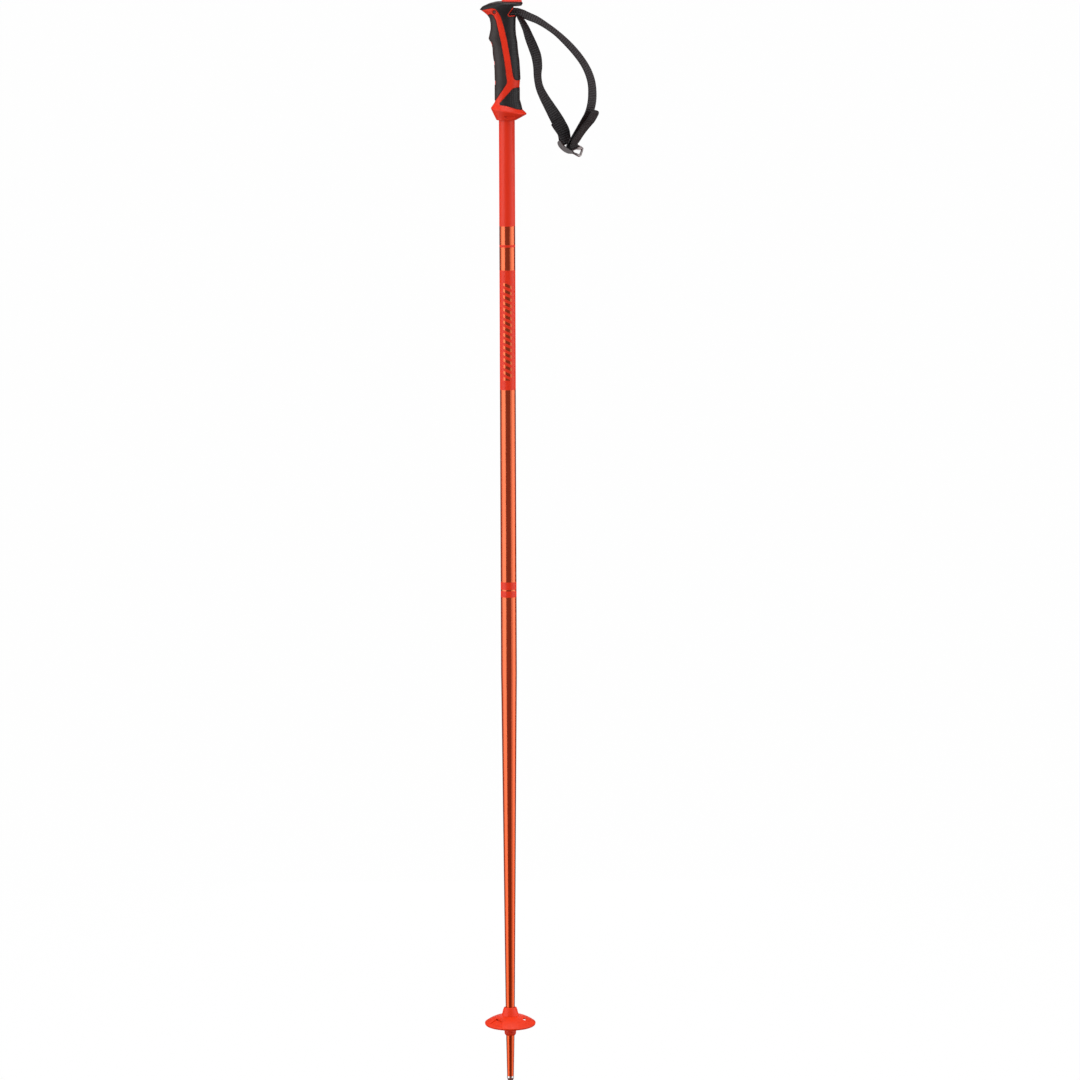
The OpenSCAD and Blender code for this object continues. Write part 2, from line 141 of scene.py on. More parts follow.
def add_world():
    """White where the camera looks, soft light for matt surfaces, and a dim room in mirrors."""
    world = bpy.data.worlds.new("studio")
    bpy.context.scene.world = world
    world.use_nodes = True
    tree = world.node_tree
    tree.nodes.clear()

    def glow(colour):
        node = tree.nodes.new("ShaderNodeBackground")
        node.inputs["Color"].default_value = (*colour, 1)
        return node

    path = tree.nodes.new("ShaderNodeLightPath")
    direction = tree.nodes.new("ShaderNodeTexCoord")
    height = tree.nodes.new("ShaderNodeSeparateXYZ")
    fade = tree.nodes.new("ShaderNodeMapRange")
    limits = (*FADE_HEIGHTS, *FADE_STRENGTHS)
    for key, value in zip(("From Min", "From Max", "To Min", "To Max"), limits):
        fade.inputs[key].default_value = value
    soft = glow(WHITE)
    tree.links.new(direction.outputs["Generated"], height.inputs["Vector"])
    tree.links.new(height.outputs["Z"], fade.inputs["Value"])
    tree.links.new(fade.outputs["Result"], soft.inputs["Strength"])
    seen = soft.outputs["Background"]
    for ray, colour in (("Is Glossy Ray", ROOM_MIRROR), ("Is Camera Ray", WHITE)):
        mix = tree.nodes.new("ShaderNodeMixShader")
        tree.links.new(path.outputs[ray], mix.inputs["Fac"])
        tree.links.new(seen, mix.inputs[1])
        tree.links.new(glow(colour).outputs["Background"], mix.inputs[2])
        seen = mix.outputs["Shader"]
    output = tree.nodes.new("ShaderNodeOutputWorld")
    tree.links.new(seen, output.inputs["Surface"])


FLOOR_Z = -0.14  # below the tip, so that the basket can slide off
FLOOR_REACH = 60
FLOOR_GLOW = 0.98


def add_floor():
    mesh = bpy.data.meshes.new("floor")
    corners = [(x * FLOOR_REACH, y * FLOOR_REACH, FLOOR_Z) for x, y in ((-1, -1), (1, -1), (1, 1), (-1, 1))]
    mesh.from_pydata(corners, [], [(0, 1, 2, 3)])
    floor = bpy.data.objects.new("floor", mesh)
    bpy.context.scene.collection.objects.link(floor)
    material = bpy.data.materials.new("floor_white")
    material.use_nodes = True
    shader = material.node_tree.nodes["Principled BSDF"]
    shader.inputs["Base Color"].default_value = (0.02, 0.02, 0.02, 1)
    shader.inputs["Roughness"].default_value = 1
    shader.inputs["Specular IOR Level"].default_value = 0
    shader.inputs["Emission Color"].default_value = (*WHITE, 1)
    shader.inputs["Emission Strength"].default_value = FLOOR_GLOW
    mesh.materials.append(material)
    floor.visible_glossy = False
    floor.visible_diffuse = False
    floor.visible_shadow = False


# ---------------------------------------------------------------- material nodes
class Shader:
    """A material and short ways of adding nodes to it."""

    def __init__(self, name, **values):
        self.material = bpy.data.materials.new(name)
        self.material.use_nodes = True
        self.tree = self.material.node_tree
        self.out = self.tree.nodes["Principled BSDF"]
        for key, value in values.items():
            self.out.inputs[key.replace("_", " ")].default_value = value

    def add(self, kind, settings=(), **inputs):
        node = self.tree.nodes.new(kind)
        for key, value in dict(settings).items():
            setattr(node, key, value)
        for key, value in inputs.items():
            self.put(node.inputs[key.replace("_", " ")], value)
        return node

    def put(self, socket, value):
        if isinstance(value, bpy.types.NodeSocket):
            self.tree.links.new(value, socket)
        else:
            socket.default_value = value

    def math(self, operation, *values):
        node = self.add("ShaderNodeMath", {"operation": operation})
        for socket, value in zip(node.inputs, values):
            self.put(socket, value)
        return node.outputs[0]

    def scaled(self, vector, factor):
        node = self.add("ShaderNodeVectorMath", {"operation": "SCALE"})
        self.put(node.inputs[0], vector)
        node.inputs["Scale"].default_value = factor
        return node.outputs[0]

    def place(self):
        """Object coordinates in millimetres."""
        return self.scaled(self.add("ShaderNodeTexCoord").outputs["Object"], 1 / MM)

    def web(self):
        """Millimetres across and along the webbing, from its own map."""
        return self.scaled(self.add("ShaderNodeUVMap", {"uv_map": "Web"}).outputs["UV"], WEB_W)

    def split(self, vector):
        return self.add("ShaderNodeSeparateXYZ", Vector=vector).outputs

    def stretched(self, vector, factors):
        node = self.add("ShaderNodeVectorMath", {"operation": "MULTIPLY"})
        self.put(node.inputs[0], vector)
        node.inputs[1].default_value = factors
        return node.outputs[0]

    def noise(self, vector, scale, detail=3, rough=0.5):
        node = self.add("ShaderNodeTexNoise", Vector=vector, Scale=scale, Detail=detail, Roughness=rough)
        return node.outputs[0]

    def spread(self, value, low, high, new_low, new_high):
        node = self.add("ShaderNodeMapRange", {"interpolation_type": "SMOOTHSTEP"})
        for key, number in zip(("Value", "From Min", "From Max", "To Min", "To Max"),
                               (value, low, high, new_low, new_high)):
            self.put(node.inputs[key], number)
        return node.outputs[0]

    def inside(self, value, low, high, soft=0.06):
        """1 between low and high, 0 outside, with a soft edge."""
        rise = self.spread(value, low - soft, low + soft, 0, 1)
        fall = self.spread(value, high - soft, high + soft, 1, 0)
        return self.math("MULTIPLY", rise, fall)

    def blend(self, factor, a, b):
        """Colour a where the factor is 0, b where it is 1."""
        node = self.add("ShaderNodeMix", {"data_type": "RGBA"})
        self.put(node.inputs[0], factor)
        self.put(node.inputs[6], a if isinstance(a, bpy.types.NodeSocket) else (*a, 1))
        self.put(node.inputs[7], b if isinstance(b, bpy.types.NodeSocket) else (*b, 1))
        return node.outputs[2]

    def between(self, factor, a, b):
        """The same for plain numbers."""
        node = self.add("ShaderNodeMix", {"data_type": "FLOAT"})
        self.put(node.inputs[0], factor)
        self.put(node.inputs[2], a)
        self.put(node.inputs[3], b)
        return node.outputs[0]

    def bump(self, height, depth):
        """Height 0 to 1 stands for depth millimetres."""
        node = self.add("ShaderNodeBump", Height=height, Strength=1.0, Distance=depth * MM)
        self.put(self.out.inputs["Normal"], node.outputs["Normal"])

    def set(self, key, value):
        self.put(self.out.inputs[key], value)


# ---------------------------------------------------------------- materials
# Heights in mm above the tip
PAINT_BANDS = [(992.4, 1200), (968.6, 971.2), (805.9, 942.4), (577.2, 585.8), (568.4, 575.6)]
MARK_BAND = (817, 928)  # plain slanted bars, in the bare metal's finish
MARK_PITCH = 7.2
MARK_HALF_WIDTH = 4.8
MARK_SLANT = 0.45
MARK_SHARE = (0.2, 0.72)  # of the pitch
TONE_FADE = (80, 620)  # where the anodising's lower tone fades to its upper one
PAINT_RED = (0.82, 0.03, 0.005)
COPPER = (0.82, 0.172, 0.066)
COPPER_LOW = (0.7, 0.094, 0.016)
COPPER_CLOUD = (0.68, 0.11, 0.034)
FILM = 0.12  # share of the anodised film that scatters instead of mirroring


def shaft_material():
    s = Shader("anodised_and_painted_tube", Coat_Roughness=0.08, Specular_IOR_Level=0.36)
    place = s.place()
    x, y, z = s.split(place)
    paint = 0
    for low, high in PAINT_BANDS:
        paint = s.math("ADD", paint, s.inside(z, low, high))
    slant = s.math("ADD", z, s.math("MULTIPLY", x, MARK_SLANT))
    step = s.math("FRACT", s.math("DIVIDE", slant, MARK_PITCH))
    bars = s.math("MULTIPLY", s.inside(step, *MARK_SHARE, 0.02), s.inside(z, *MARK_BAND))
    bars = s.math("MULTIPLY", bars, s.inside(x, -MARK_HALF_WIDTH, MARK_HALF_WIDTH))
    paint = s.math("MULTIPLY", paint, s.math("SUBTRACT", 1, bars))
    cloud = s.noise(place, 0.02, 2)
    copper = s.blend(s.spread(z, *TONE_FADE, 0, 1), COPPER_LOW, COPPER)
    copper = s.blend(s.spread(cloud, 0.3, 0.7, 0, 0.12), copper, COPPER_CLOUD)
    mottle = s.spread(s.noise(place, 0.9, 4), 0.35, 0.7, 0, 0.16)
    red = s.blend(mottle, PAINT_RED, (0.72, 0.023, 0.004))
    s.set("Base Color", s.blend(paint, copper, red))
    s.set("Metallic", s.math("MULTIPLY", s.math("SUBTRACT", 1, paint), 1 - FILM))
    drawn = s.noise(s.stretched(place, (3.2, 3.2, 0.012)), 1, 4, 0.6)
    grit = s.noise(place, 6, 3, 0.6)
    metal_rough = s.spread(drawn, 0.3, 0.75, 0.15, 0.26)
    paint_rough = s.spread(grit, 0.3, 0.7, 0.32, 0.4)
    s.set("Roughness", s.between(paint, metal_rough, paint_rough))
    metal_height = s.math("MULTIPLY", drawn, 0.35)
    paint_height = s.math("ADD", 0.5, s.math("MULTIPLY", grit, 0.5))
    s.bump(s.between(paint, metal_height, paint_height), 0.012)
    s.set("Coat Weight", s.math("MULTIPLY", s.math("SUBTRACT", 1, paint), 0.3))
    return s.material


GROOVE_SHADE_REACH = 2.2  # mm, how near the other wall of a groove has to be for the groove to get painted shade


def red_plastic(name, colour, rough):
    """Satin moulding with a fine grain, and painted shade that darkens its grooves."""
    s = Shader(name, Specular_IOR_Level=0.32)
    place = s.place()
    cloud = s.noise(place, 0.11, 3)
    fine = s.noise(place, 4.5, 4, 0.6)
    darker = tuple(c * 0.8 for c in colour)
    tint = s.blend(s.spread(cloud, 0.3, 0.72, 0, 0.5), colour, darker)
    # Painted shade: an ambient occlusion mask darkens the colour in grooves and crevices, where shade
    # falls.
    groove_shade = s.add("ShaderNodeAmbientOcclusion", {"samples": 8}, Distance=GROOVE_SHADE_REACH * MM).outputs["AO"]
    tint = s.blend(s.spread(groove_shade, 0.2, 0.7, 0.9, 0), tint, tuple(c * 0.12 for c in colour))
    s.set("Base Color", tint)
    s.set("Roughness", s.spread(fine, 0.3, 0.72, rough - 0.05, rough + 0.07))
    s.bump(fine, 0.006)
    return s.material


DOT_PITCH = 2.2
DOT_TURN_R = 12.5  # mm, about the grip's radius, so that the dots are as far apart round it as up it


def rubber(name, colour, rough, dots_on=None):
    """Moulded rubber. dots_on is (low z, high z, low x) of the side with a raised dot pattern, whose tops
    get a painted highlight.
    """
    s = Shader(name, Specular_IOR_Level=0.42)
    place = s.place()
    x, y, z = s.split(place)
    fine = s.noise(place, 5.5, 4, 0.65)
    cloud = s.noise(place, 0.16, 3)
    dusty = tuple(c * 1.5 + 0.004 for c in colour)
    tint = s.blend(s.spread(cloud, 0.35, 0.75, 0, 0.5), colour, dusty)
    height = s.math("MULTIPLY", fine, 0.25)
    if dots_on:
        low, high, side = dots_on
        around = s.math("MULTIPLY", s.math("ARCTAN2", y, x), DOT_TURN_R)
        rising = s.math("SINE", s.math("MULTIPLY", s.math("ADD", z, around), math.pi / DOT_PITCH))
        falling = s.math("SINE", s.math("MULTIPLY", s.math("SUBTRACT", z, around), math.pi / DOT_PITCH))
        dots = s.spread(s.math("MULTIPLY", rising, falling), 0.0, 0.75, 0, 1)
        area = s.math("MULTIPLY", s.inside(z, low, high, 5), s.spread(x, side - 1.5, side + 1.5, 0, 1))
        dots = s.math("MULTIPLY", dots, area)
        height = s.math("ADD", height, dots)
        # Painted highlight: the raised dots are painted lighter than the rubber around them.
        tint = s.blend(s.math("MULTIPLY", dots, 0.7), tint, tuple(c * 3 + 0.01 for c in colour))
    s.set("Base Color", tint)
    s.set("Roughness", s.spread(fine, 0.3, 0.75, rough - 0.07, rough + 0.1))
    s.bump(height, 0.16 if dots_on else 0.04)
    return s.material


YARN_PITCH = 0.62
# The webbing's lighter colour is a painted highlight on the raised ribs and yarns.
WEB_DARK, WEB_RIB_HIGHLIGHT, WEB_WORN = (0.0012, 0.0018, 0.0022), (0.034, 0.037, 0.041), (0.021, 0.023, 0.026)


def webbing_material(name, ribs):
    """Black woven webbing: cross ribs, fine warp yarns shifted at each half rib, and loose fibre, with
    their raised tops painted lighter as a painted highlight.
    """
    s = Shader(name, Sheen_Weight=0.08, Sheen_Roughness=0.4, Specular_IOR_Level=0.4)
    place = s.web()
    across, along, _ = s.split(place)
    phase = s.math("MULTIPLY", along, 2 * math.pi / RIB_PITCH)
    rib = s.math("MULTIPLY", s.math("ADD", s.math("COSINE", phase), 1), 0.5)
    odd = s.math("MULTIPLY", s.math("FLOOR", s.math("DIVIDE", along, RIB_PITCH / 2)), math.pi)
    warp = s.math("SINE", s.math("ADD", s.math("MULTIPLY", across, 2 * math.pi / YARN_PITCH), odd))
    fibre = s.noise(s.stretched(place, (9, 1.2, 1)), 1, 4, 0.7)
    cloud = s.noise(s.place(), 0.12, 2)
    warp_height = s.math("ADD", s.math("MULTIPLY", warp, 0.5), 0.5)
    height = s.math("ADD", s.math("MULTIPLY", rib, 0.55 * ribs), s.math("MULTIPLY", warp_height, 0.3))
    height = s.math("ADD", height, s.math("MULTIPLY", fibre, 0.22))
    # Painted highlight and shade: the colour follows the height, lighter on the tops of ribs, yarns and
    # fibre, darker in the hollows.
    tint = s.blend(s.spread(height, 0.3, 0.85, 0, 1), WEB_DARK, WEB_RIB_HIGHLIGHT)
    tint = s.blend(s.spread(cloud, 0.4, 0.75, 0, 0.3), tint, WEB_WORN)
    s.set("Base Color", tint)
    s.set("Roughness", s.spread(fibre, 0.3, 0.75, 0.4, 0.6))
    s.set("Sheen Tint", (0.75, 0.75, 0.8, 1))
    s.bump(height, 0.3)
    return s.material


def thread_material():
    s = Shader("black_thread", Specular_IOR_Level=0.4)
    place = s.place()
    twist = s.noise(s.stretched(place, (6, 6, 2)), 1, 3)
    s.set("Base Color", s.blend(twist, (0.012, 0.012, 0.013), (0.05, 0.05, 0.052)))
    s.set("Roughness", s.spread(twist, 0.3, 0.7, 0.45, 0.65))
    s.bump(twist, 0.06)
    return s.material


def steel_material():
    s = Shader("turned_steel", Metallic=1.0)
    place = s.place()
    turned = s.noise(s.stretched(place, (0.05, 0.05, 7)), 1, 4, 0.7)
    stain = s.noise(place, 0.5, 4)
    tint = s.blend(s.spread(stain, 0.35, 0.75, 0, 0.6), (0.7, 0.78, 0.79), (0.54, 0.58, 0.58))
    s.set("Base Color", tint)
    s.set("Roughness", s.spread(turned, 0.3, 0.75, 0.2, 0.36))
    s.bump(turned, 0.02)
    return s.material


def carbide_material():
    s = Shader("sintered_carbide", Metallic=0.85)
    grain = s.noise(s.place(), 9, 5, 0.7)
    s.set("Base Color", s.blend(grain, (0.11, 0.11, 0.12), (0.22, 0.22, 0.23)))
    s.set("Roughness", s.spread(grain, 0.3, 0.7, 0.4, 0.6))
    s.bump(grain, 0.03)
    return s.material


LEVER_HIGHLIGHT_SPAN = (78.5, 81)  # mm in x, from the dark frame to the lever, which is painted lighter as a highlight


def gunmetal_material():
    s = Shader("gunmetal", Metallic=0.6, Coat_Weight=0.8, Coat_Roughness=0.08)
    place = s.place()
    cast = s.noise(place, 1.1, 4, 0.6)
    rubbed = s.noise(place, 0.35, 5, 0.7)
    tint = s.blend(s.spread(rubbed, 0.52, 0.72, 0, 0.5), (0.035, 0.032, 0.034), (0.11, 0.105, 0.107))
    x = s.split(place)[0]
    # Painted highlight: the looped lever is painted a lighter grey than the frame.
    tint = s.blend(s.spread(x, *LEVER_HIGHLIGHT_SPAN, 0, 0.8), tint, (0.42, 0.41, 0.41))
    s.set("Base Color", tint)
    s.set("Roughness", s.spread(cast, 0.3, 0.7, 0.24, 0.38))
    s.bump(cast, 0.03)
    return s.material


def paint_node(node, material):
    """Gives a CAD node that stays its material."""
    mesh_object = frame["nodes"][node]
    for slot in mesh_object.material_slots:
        slot.material = material
    if not mesh_object.material_slots:
        mesh_object.data.materials.append(material)


# ---------------------------------------------------------------- moulded pieces
BODIES = frame["record"]["behaviour"]["bodies"]
BODY_OF = {node: body for body, nodes in BODIES.items() for node in nodes}


def add_piece(name, mesh, material, body=None, replaces=()):
    piece = bpy.data.objects.new(name, mesh)
    bpy.context.scene.collection.objects.link(piece)
    mesh.materials.clear()
    mesh.materials.append(material)
    if body:
        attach(piece, body)
    if replaces:
        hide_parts(*replaces)
    return piece


def moulded(node, name, material, voxel, rounds, shape=None):
    """The node's own solid with its edges rounded as a mould rounds them. voxel is in mm."""
    source = frame["nodes"][node]
    work = bpy.data.objects.new(name + "_work", source.data.copy())
    bpy.context.scene.collection.objects.link(work)
    weld = work.modifiers.new("weld", "WELD")
    weld.merge_threshold = 1e-6
    remesh = work.modifiers.new("remesh", "REMESH")
    remesh.mode = "VOXEL"
    remesh.voxel_size = voxel * MM
    smooth = work.modifiers.new("smooth", "SMOOTH")
    smooth.factor = 0.5
    smooth.iterations = rounds
    view = bpy.context.evaluated_depsgraph_get()
    mesh = bpy.data.meshes.new_from_object(work.evaluated_get(view))
    bpy.data.objects.remove(work)
    mesh.name = name
    if shape:
        points = np.array([v.co for v in mesh.vertices]) / MM
        normals = np.array([v.normal for v in mesh.vertices])
        mesh.vertices.foreach_set("co", (shape(points, normals) * MM).astype(np.float32).ravel())
    mesh.polygons.foreach_set("use_smooth", [True] * len(mesh.polygons))
    mesh.update()
    return add_piece(name, mesh, material, BODY_OF[node], [node])


# ---------------------------------------------------------------- webbing
WEB_W = 15.5
WEB_T = 1.7
RIB_PITCH = 2.7
RING_STEP = 0.45

# Route of the webbing's middle in mm: x, y, z, twist and lean of its width. It is the CAD's course,
# with its twist and its lower inner run refined against the photograph
ROOT_OUTER = [[18.6, 0, 1233.4, 24, 68], [11.5, 0, 1236.3, 17, 75], [3.5, 0, 1237.2, 11, 85],
              [-5, 0, 1238.7, 0, 90]]
ROOT_INNER = [[-5, 0, 1233.5, 0, 90], [3.5, 0, 1233.1, 4, 84], [9.4, 0, 1233.3, 8, 68],
              [12.9, 0, 1232.1, 13, 52], [14.8, 0, 1228.8, 16, 44]]
OUTER = [[22.6, 0, 1231, 28, 66], [33, 0, 1226.6, 25, 62], [44, 0, 1220, 20, 56],
         [56, 0, 1211.2, 19, 49], [67.5, 0, 1200.5, 23, 44], [77.5, 0, 1189.6, 25, 40],
         [86, 0, 1178.2, 26, 33], [92, 0, 1167, 29, 22], [95.6, 0, 1155.5, 32, 11],
         [96.7, 0, 1144, 35, 1], [96, 0, 1132, 37, -7], [92.8, 0, 1120, 37, -18],
         [86.4, 0.2, 1108.2, 36, -26], [79.4, 0.4, 1096.4, 34, -26], [74.4, 0.4, 1088, 34, -14]]
INNER = [[16.9, 0, 1225.8, 19, 38], [21.4, 0, 1217.2, 26, 28], [25.4, 0, 1206.5, 36, 24],
         [29.8, 0, 1195.6, 42, 22], [33.6, 0, 1184.6, 44, 12], [35.1, 0, 1173, 39, 2],
         [35, 0, 1161.5, 31, 4], [37, 0, 1150, 31, 18], [41.6, 0, 1139.4, 37, 28],
         [47.7, 0, 1128.6, 48, 31], [53.9, 0.8, 1117.8, 62, 30], [59.6, 2, 1107.4, 74, 28],
         [64.2, 3.2, 1097.6, 66, 22]]
TAIL = [[78.2, -4.4, 1089.6, 32, -18], [83.1, -4.8, 1097.4, 32, -28], [88.7, -4.8, 1105, 34, -28],
        [94.8, -4.8, 1112.4, 36, -26], [98.6, -4.6, 1119.2, 37, -20]]
TAIL_END_R = 5

# The buckle's place in mm, the lean of its bars, and the bars as (across, up)
BUCKLE_POS = np.array([71.9, 0, 1080.8])
BAR_TWIST, BAR_LEAN = 34, 14
PULL = np.array([0.05, 0, 1])
SEWN_BAR, ADJUSTER_BAR = (7, 6.2), (-2, 0.2)
TURN_R = 1.4 + 0.2 + WEB_T / 2
FOLD_R = 1.3 + 0.3 + WEB_T / 2
FOLD_LEN, FOLD_OPEN = 27, 8  # mm from the sewn bar: the end of the doubled part, and its start
FOLD_ASIDE, ASIDE_START = 2.0, 4  # mm the end is shifted in its width, and where the shift starts
PIN = (-13.6, 1235.9)  # x and z of the anchor pin
PIN_LOOP_R = 1.8 + 0.2 + WEB_T / 2


def unit(v):
    return v / np.linalg.norm(v, axis=-1, keepdims=True)


def width_dir(route):
    twist, lean = np.radians(route[..., 3]), np.radians(route[..., 4])
    return np.stack([np.sin(twist) * np.cos(lean), np.cos(twist), np.sin(twist) * np.sin(lean)], -1)


# The buckle's axes: along its bars, along the strap's pull, and across both
BAR_DIR = width_dir(np.array([0, 0, 0, BAR_TWIST, BAR_LEAN], float))
PULL_DIR = unit(PULL - np.dot(PULL, BAR_DIR) * BAR_DIR)
CROSS_DIR = np.cross(PULL_DIR, BAR_DIR)


def buckle_point(across, up):
    return [*(BUCKLE_POS + across * CROSS_DIR + up * PULL_DIR), BAR_TWIST, BAR_LEAN]


def round_bar(bar, radius, steps):
    """Points of half a turn under a bar."""
    return [buckle_point(bar[0] + radius * math.cos(a), bar[1] + radius * math.sin(a))
            for a in np.radians(np.linspace(0, -180, steps))]


def smooth(points, steps):
    """A Catmull-Rom curve through the points."""
    p = np.array(points, float)
    p = np.vstack([p[:1], p, p[-1:]])
    t = np.arange(steps)[:, None] / steps
    parts = []
    for a, b, c, d in zip(p, p[1:], p[2:], p[3:]):
        square = (2 * a - 5 * b + 4 * c - d) * t ** 2
        cube = (3 * b - a - 3 * c + d) * t ** 3
        parts.append(0.5 * (2 * b + (c - a) * t + square + cube))
    return np.vstack([*parts, p[-1:]])


def evenly(route, step):
    """The same route with points a step apart, and how far along each one is."""
    reach = np.concatenate([[0], np.cumsum(np.linalg.norm(np.diff(route[:, :3], axis=0), axis=1))])
    wanted = np.linspace(0, reach[-1], max(2, int(round(reach[-1] / step)) + 1))
    return np.stack([np.interp(wanted, reach, route[:, k]) for k in range(route.shape[1])], 1), wanted


def face_dir(route):
    """Out of the webbing's broad face."""
    along = unit(np.gradient(route[:, :3], axis=0))
    across = width_dir(route)
    return unit(np.cross(along, across))


SIDE_STEPS = 6
FLAT_STEPS = 9
RIB_RISE, RIB_WAVE = 0.085, 0.006  # shares of the thickness and of the width


def section():
    """Outline of the webbing as (across, through), flat with round edges."""
    half_w, half_t = WEB_W / 2, WEB_T / 2
    flat = np.linspace(-half_w + half_t, half_w - half_t, FLAT_STEPS)
    turn = np.linspace(math.pi / 2, -math.pi / 2, SIDE_STEPS)[1:-1]
    top = [(x, half_t) for x in flat]
    right = [(half_w - half_t + half_t * math.cos(a), half_t * math.sin(a)) for a in turn]
    bottom = [(x, -half_t) for x in flat[::-1]]
    left = [(-x, -z) for x, z in right]
    return np.array(top + right + bottom + left)


def ribbon(name, route, material, ribs=1.0, round_end=0.0):
    """Webbing along a route, with raised cross ribs and, where asked, a rounded far end."""
    route, reach = evenly(np.array(route, float), RING_STEP)
    outline = section()
    count, ring = len(route), len(outline)
    across, face = width_dir(route), face_dir(route)
    rib = 1 + RIB_RISE * ribs * np.cos(2 * np.pi * reach / RIB_PITCH)
    narrow = np.ones(count)
    if round_end:
        left = np.clip(round_end - (reach[-1] - reach), 0, round_end)
        narrow = 1 - (round_end - np.sqrt(np.maximum(round_end ** 2 - left ** 2, 0.02))) / (WEB_W / 2)
    wave = 1 + RIB_WAVE * ribs * np.sin(2 * np.pi * reach / RIB_PITCH)
    points = (route[:, None, :3]
              + (outline[None, :, 0] * (narrow * wave)[:, None])[..., None] * across[:, None]
              + (outline[None, :, 1] * rib[:, None])[..., None] * face[:, None])
    ends = np.array([route[0, :3], route[-1, :3]])
    verts = np.vstack([points.reshape(-1, 3), ends]) * MM
    faces = []
    for i in range(count - 1):
        for k in range(ring):
            a, b = i * ring + k, i * ring + (k + 1) % ring
            faces.append((b, a, a + ring, b + ring))
    first, last = count * ring, count * ring + 1
    for k in range(ring):
        faces.append((first, k, (k + 1) % ring))
        faces.append((last, (count - 1) * ring + (k + 1) % ring, (count - 1) * ring + k))
    mesh = bpy.data.meshes.new(name)
    mesh.from_pydata(verts.tolist(), [], faces)
    mesh.polygons.foreach_set("use_smooth", [True] * len(mesh.polygons))
    uv = mesh.uv_layers.new(name="Web")
    share = outline[:, 0] / WEB_W + 0.5
    place = {i * ring + k: (share[k], reach[i] / WEB_W) for i in range(count) for k in range(ring)}
    place[first] = (0.5, 0)
    place[last] = (0.5, reach[-1] / WEB_W)
    uv.data.foreach_set("uv", [c for loop in mesh.loops for c in place[loop.vertex_index]])
    mesh.update()
    return add_piece(name, mesh, material)


CURVE_STEPS = 12  # between two points of the outer and inner runs
SEAM = 2 * CURVE_STEPS  # steps of the outer run that go with the buckle's turn


def second_layer(inner):
    """The sewn end: the inner run's course again, a thickness further out and shifted in its width."""
    layer = inner.copy()
    layer[:, :3] += (WEB_T + 0.05) * face_dir(inner)
    steps = np.linalg.norm(np.diff(inner[::-1, :3], axis=0), axis=1)
    left = np.concatenate([np.cumsum(steps)[::-1], [0]])
    aside = FOLD_ASIDE * np.clip((left - ASIDE_START) / (FOLD_LEN - ASIDE_START), 0, 1)
    layer[:, :3] -= aside[:, None] * width_dir(inner)
    return layer[(left < FOLD_LEN) & (left > FOLD_OPEN)][::-1]


def pin_turn():
    """Half a turn round the anchor pin, from its top over its far side to its bottom."""
    return [[PIN[0] + PIN_LOOP_R * math.cos(a), 0, PIN[1] + PIN_LOOP_R * math.sin(a), 0, 90]
            for a in np.radians(np.linspace(90, 270, 13))]


def strap_routes():
    """The strap's line as long strap, turn round the adjuster bar and tail, and its sewn end."""
    outer_end = buckle_point(ADJUSTER_BAR[0] + TURN_R, ADJUSTER_BAR[1] + 3.6)
    outer = smooth(OUTER + [outer_end], CURVE_STEPS)
    seam = len(outer) - 1 - SEAM
    inner_end = buckle_point(SEWN_BAR[0] + FOLD_R, SEWN_BAR[1])
    inner = smooth(INNER + [inner_end], CURVE_STEPS)
    pin_loop = pin_turn()
    top = smooth(OUTER[1::-1] + ROOT_OUTER[:-1] + pin_loop[:1], 8)
    bottom = smooth(pin_loop[-1:] + ROOT_INNER[1:] + INNER[:2], 8)
    fold = second_layer(inner)
    sewn = smooth(round_bar(SEWN_BAR, FOLD_R, 9) + [list(fold[0])], 6)
    long_strap = np.vstack([outer[seam:CURVE_STEPS - 1:-1], top[:-1], pin_loop[:-1], bottom[:-1],
                            inner[CURVE_STEPS + 1:-1], sewn[:-1], fold])
    far = ADJUSTER_BAR[0] - TURN_R
    tail_start = buckle_point(far - 0.1, ADJUSTER_BAR[1] + 1.6)
    turn = np.vstack([outer[seam:-1], [outer_end], round_bar(ADJUSTER_BAR, TURN_R, 13), [tail_start],
                      [buckle_point(far - 0.3, ADJUSTER_BAR[1] + 3.4)]])
    tail = smooth([tail_start, buckle_point(far - 0.4, ADJUSTER_BAR[1] + 4)] + TAIL, 10)
    end = tail[-1].copy()
    end[:3] += TAIL_END_R * unit(tail[-1, :3] - tail[-2, :3])
    return long_strap, turn, np.vstack([tail, [end]]), fold


STITCH_ROWS = (0.12, 0.45, 0.78)  # shares of the sewn end's length
STITCH_PITCH, STITCH_LEN, THREAD_R = 2.0, 1.6, 0.24
STITCH_SIDE = 6  # mm, the outermost stitch on each side
STITCH_SUNK, STITCH_RISE = 0.15, 0.42


def stitches(name, fold, material):
    """Rows of thread over the sewn end, each stitch a short round arch on the webbing's face."""
    across, face = width_dir(fold), face_dir(fold)
    along = unit(np.gradient(fold[:, :3], axis=0))
    verts, faces = [], []
    bend, ring = 8, 8
    for row in STITCH_ROWS:
        i = int(row * (len(fold) - 1))
        for x in np.arange(-STITCH_SIDE, STITCH_SIDE + 0.1, STITCH_PITCH):
            start = len(verts)
            for j in range(bend + 1):
                t = j / bend
                lift = WEB_T / 2 - STITCH_SUNK + STITCH_RISE * math.sin(math.pi * t)
                centre = fold[i, :3] + across[i] * (x + (t - 0.5) * STITCH_LEN) + face[i] * lift
                for k in range(ring):
                    a = 2 * math.pi * k / ring
                    verts.append(centre + THREAD_R * (math.cos(a) * along[i] + math.sin(a) * face[i]))
            for j in range(bend):
                for k in range(ring):
                    a, b = start + j * ring + k, start + j * ring + (k + 1) % ring
                    faces.append((a, b, b + ring, a + ring))
            faces.append(tuple(start + k for k in range(ring))[::-1])
            faces.append(tuple(start + bend * ring + k for k in range(ring)))
    mesh = bpy.data.meshes.new(name)
    mesh.from_pydata([(v * MM).tolist() for v in verts], [], faces)
    mesh.polygons.foreach_set("use_smooth", [True] * len(mesh.polygons))
    return add_piece(name, mesh, material, "strap", ["fold_stitching"])


